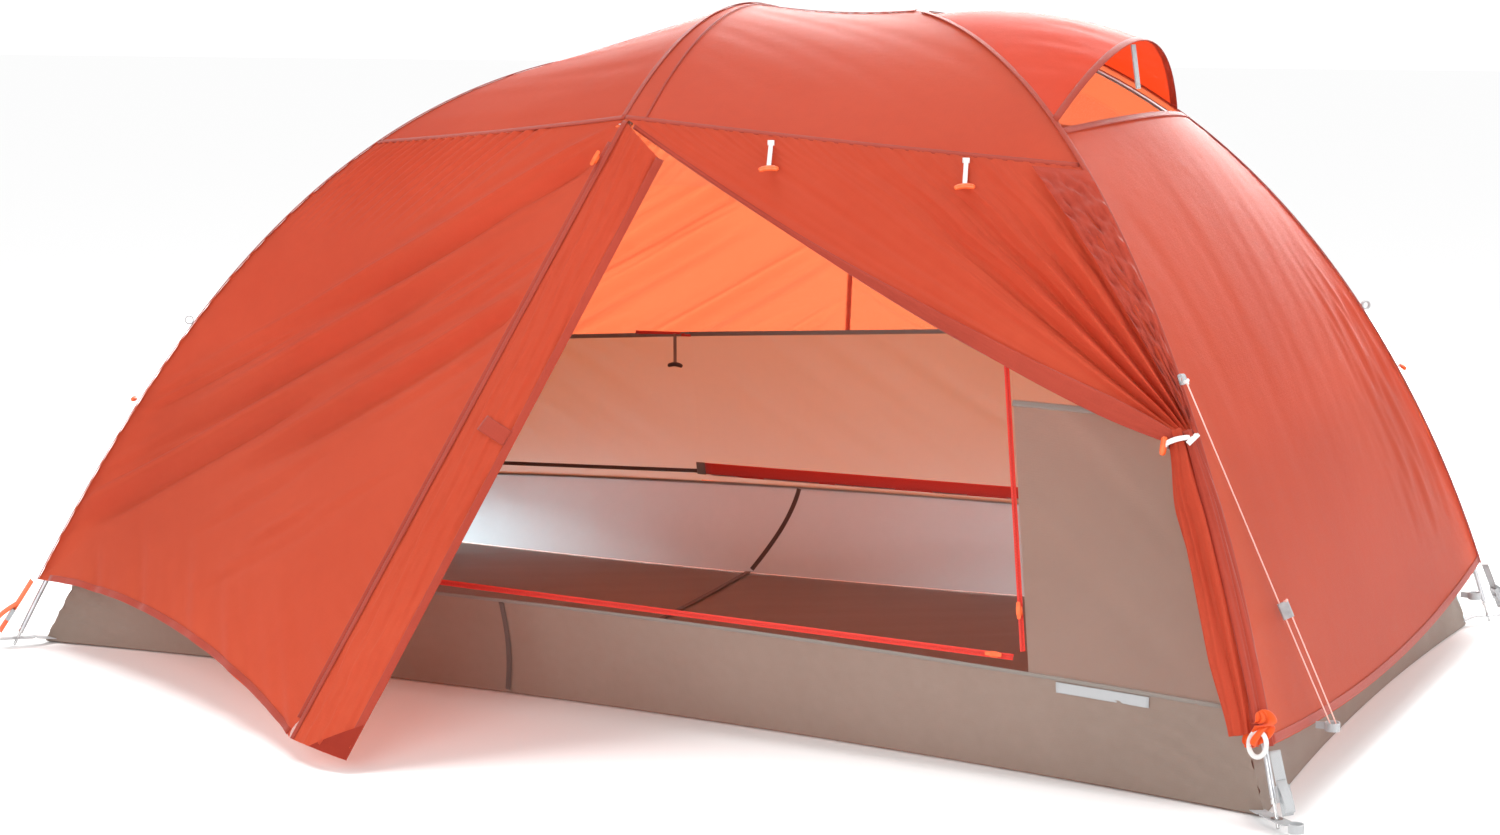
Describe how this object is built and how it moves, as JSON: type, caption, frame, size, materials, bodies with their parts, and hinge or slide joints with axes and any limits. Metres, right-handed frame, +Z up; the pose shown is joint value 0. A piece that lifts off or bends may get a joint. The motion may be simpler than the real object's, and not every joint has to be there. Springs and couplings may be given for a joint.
{
  "type": "dome tent",
  "caption": "Two-person dome tent with a hubbed pole frame, an inner tent and an orange rain fly whose near door is drawn back.",
  "frame": {"origin": "middle of the groundsheet underside, on the ground", "axes": "+X along the length towards the head end, -Y towards the open near door, +Z up"},
  "size_m": [2.3437, 2.0536, 1.0997],
  "materials": {
    "fly_cloth": "light coated nylon, satin",
    "inner_cloth": "light grey-green woven nylon, matt",
    "netting": "fine no-see-um netting",
    "floor_cloth": "coated nylon groundsheet",
    "pole_alloy": "anodised, satin",
    "hub_plastic": "moulded, matt",
    "pole_tip_metal": "turned, satin",
    "shock_cord": "braided elastic",
    "grey_webbing": "woven polyester tape",
    "red_trim": "coated red trim",
    "zip_metal": "coloured zip slider",
    "buckle_plastic": "moulded grey acetal",
    "toggle_plastic": "moulded orange toggle on white elastic",
    "guy_cord": "braided cord with a light fleck",
    "clip_plastic": "moulded clips",
    "grommet_metal": "pressed eyelets"
  },
  "bodies": {
    "tent": {"body_clips": "clip_plastic", "corner_grommets": "grommet_metal", "corner_webbing": "grey_webbing", "cross_pole": "pole_alloy", "cross_saddle": "hub_plastic", "door_ties": "grey_webbing", "fly_foot_panel": "fly_cloth", "fly_head_panel": "fly_cloth", "fly_open_door_drape": "fly_cloth", "fly_open_door_roll": "fly_cloth", "fly_roof": "fly_cloth", "fly_shoulders": "fly_cloth", "fly_straps": "grey_webbing", "fly_vent_hood": "fly_cloth", "guy_loops": "grey_webbing", "guyline": "guy_cord", "hem_stake_loops": "grey_webbing", "hub_foot": "hub_plastic", "hub_head": "hub_plastic", "inner_door_zips": "red_trim", "inner_end_walls": "inner_cloth", "inner_far_wall": "inner_cloth", "inner_near_wall": "inner_cloth", "inner_roof": "netting", "leg_pole_foot_far": "pole_alloy", "leg_pole_foot_near": "pole_alloy", "leg_pole_head_far": "pole_alloy", "leg_pole_head_near": "pole_alloy", "near_door_roll": "inner_cloth", "pole_ferrules": "pole_alloy", "pole_tips": "pole_tip_metal", "shock_cords": "shock_cord", "spine_pole": "pole_alloy", "tub_floor": "floor_cloth", "tub_walls": "floor_cloth"},
    "near_flap": {"near_flap": "fly_cloth", "near_storm_strip": "fly_cloth"},
    "near_flap_slider": {"near_flap_slider": "zip_metal"},
    "far_flap_foot": {"far_flap_foot": "fly_cloth"},
    "far_flap_head": {"far_flap_head": "fly_cloth"},
    "far_flap_slider": {"far_flap_slider": "zip_metal"},
    "far_door": {"far_door": "inner_cloth", "far_door_rain_flap": "red_trim"},
    "far_sill_slider": {"far_sill_slider": "zip_metal"},
    "near_sill_slider": {"near_sill_slider": "zip_metal"},
    "near_side_slider": {"near_side_slider": "zip_metal"},
    "guy_tensioner": {"guy_tensioner": "buckle_plastic"},
    "vent_strut": {"vent_strut": "buckle_plastic"},
    "far_door_toggle": {"far_door_toggle": "toggle_plastic"},
    "ladder_lock_foot_far": {"ladder_lock_foot_far": "buckle_plastic"},
    "ladder_lock_foot_near": {"ladder_lock_foot_near": "buckle_plastic"},
    "ladder_lock_head_far": {"ladder_lock_head_far": "buckle_plastic"},
    "ladder_lock_head_near": {"ladder_lock_head_near": "buckle_plastic"},
    "roof_toggle_far_1": {"roof_toggle_far_1": "toggle_plastic"},
    "roof_toggle_far_2": {"roof_toggle_far_2": "toggle_plastic"},
    "roof_toggle_near_1": {"roof_toggle_near_1": "toggle_plastic"},
    "roof_toggle_near_2": {"roof_toggle_near_2": "toggle_plastic"},
    "tie_toggle_foot_far": {"tie_toggle_foot_far": "toggle_plastic"},
    "tie_toggle_foot_near": {"tie_toggle_foot_near": "toggle_plastic"},
    "tie_toggle_head_far": {"tie_toggle_head_far": "toggle_plastic"}
  },
  "joints": [
    {"name": "near_flap_swing", "type": "hinge", "parent": "tent", "child": "near_flap", "pos_m": [0, -0.452, 0.922], "axis": [-0.8018, -0.0855, -0.5915], "range_deg": [0, 75]},
    {"name": "far_flap_foot_swing", "type": "hinge", "parent": "tent", "child": "far_flap_foot", "pos_m": [0, 0.452, 0.922], "axis": [0.8018, -0.0855, 0.5915], "range_deg": [0, 75]},
    {"name": "far_flap_head_swing", "type": "hinge", "parent": "tent", "child": "far_flap_head", "pos_m": [0, 0.452, 0.922], "axis": [0.7957, 0.1705, -0.5812], "range_deg": [0, 75]},
    {"name": "near_flap_zip", "type": "slide", "parent": "near_flap", "child": "near_flap_slider", "axis": [-0.2553, -0.4994, -0.8279], "range_m": [0, 0.88]},
    {"name": "far_flap_zip", "type": "slide", "parent": "far_flap_foot", "child": "far_flap_slider", "axis": [0.2553, -0.4994, 0.8279], "range_m": [0, 0.88]},
    {"name": "far_door_swing", "type": "hinge", "parent": "tent", "child": "far_door", "pos_m": [-0.33, 0.368, 0.815], "axis": [-0.9997, 0.0251, 0], "range_deg": [0, 60]},
    {"name": "far_sill_zip", "type": "slide", "parent": "tent", "child": "far_sill_slider", "axis": [-0.9984, -0.0567, 0.0075], "range_m": [0, 0.98]},
    {"name": "near_sill_zip", "type": "slide", "parent": "tent", "child": "near_sill_slider", "axis": [-0.9984, 0.0567, 0.0075], "range_m": [0, 0.96]},
    {"name": "near_side_zip", "type": "slide", "parent": "tent", "child": "near_side_slider", "axis": [-0.2146, 0.3823, 0.8987], "range_m": [0, 0.52]},
    {"name": "guy_tension", "type": "slide", "parent": "tent", "child": "guy_tensioner", "axis": [0.3848, 0.1099, -0.9164], "range_m": [-0.03, 0.1]},
    {"name": "vent_strut_fold", "type": "hinge", "parent": "tent", "child": "vent_strut", "pos_m": [0.674, 0, 1.036], "axis": [0, 1, 0], "range_deg": [0, 75]},
    {"name": "strap_adjust_head_near", "type": "slide", "parent": "tent", "child": "ladder_lock_head_near", "axis": [-0.3064, 0.2602, 0.9157], "range_m": [-0.012, 0.025]},
    {"name": "strap_adjust_head_far", "type": "slide", "parent": "tent", "child": "ladder_lock_head_far", "axis": [-0.3064, -0.2602, 0.9157], "range_m": [-0.012, 0.025]},
    {"name": "strap_adjust_foot_near", "type": "slide", "parent": "tent", "child": "ladder_lock_foot_near", "axis": [0.4349, 0.3316, 0.8372], "range_m": [-0.012, 0.025]},
    {"name": "strap_adjust_foot_far", "type": "slide", "parent": "tent", "child": "ladder_lock_foot_far", "axis": [0.4349, -0.3316, 0.8372], "range_m": [-0.012, 0.025]},
    {"name": "roof_toggle_near_1_swing", "type": "hinge", "parent": "tent", "child": "roof_toggle_near_1", "pos_m": [0.2455, -0.4376, 0.8907], "axis": [-0.9792, -0.2028, 0], "range_deg": [0, 60]},
    {"name": "roof_toggle_near_2_swing", "type": "hinge", "parent": "tent", "child": "roof_toggle_near_2", "pos_m": [0.547, -0.3935, 0.8692], "axis": [-0.9812, -0.193, 0], "range_deg": [0, 60]},
    {"name": "roof_toggle_far_1_swing", "type": "hinge", "parent": "tent", "child": "roof_toggle_far_1", "pos_m": [0.2405, 0.4382, 0.8872], "axis": [0.9834, -0.1813, 0], "range_deg": [0, 60]},
    {"name": "roof_toggle_far_2_swing", "type": "hinge", "parent": "tent", "child": "roof_toggle_far_2", "pos_m": [0.5575, 0.3967, 0.8631], "axis": [0.9828, -0.1848, 0], "range_deg": [0, 60]},
    {"name": "far_door_toggle_swing", "type": "hinge", "parent": "tent", "child": "far_door_toggle", "pos_m": [-0.3869, 0.4609, 0.4687], "axis": [-1, 0, 0], "range_deg": [-6, 60]},
    {"name": "tie_toggle_head_far_swing", "type": "hinge", "parent": "tent", "child": "tie_toggle_head_far", "pos_m": [0.967, 0.5664, 0.5103], "axis": [0.6473, -0.7623, 0], "range_deg": [0, 60]},
    {"name": "tie_toggle_foot_near_swing", "type": "hinge", "parent": "tent", "child": "tie_toggle_foot_near", "pos_m": [-0.9385, -0.4495, 0.461], "axis": [-0.607, 0.7947, 0], "range_deg": [0, 60]},
    {"name": "tie_toggle_foot_far_swing", "type": "hinge", "parent": "tent", "child": "tie_toggle_foot_far", "pos_m": [-0.9385, 0.4495, 0.461], "axis": [0.607, 0.7947, 0], "range_deg": [0, 60]}
  ]
}
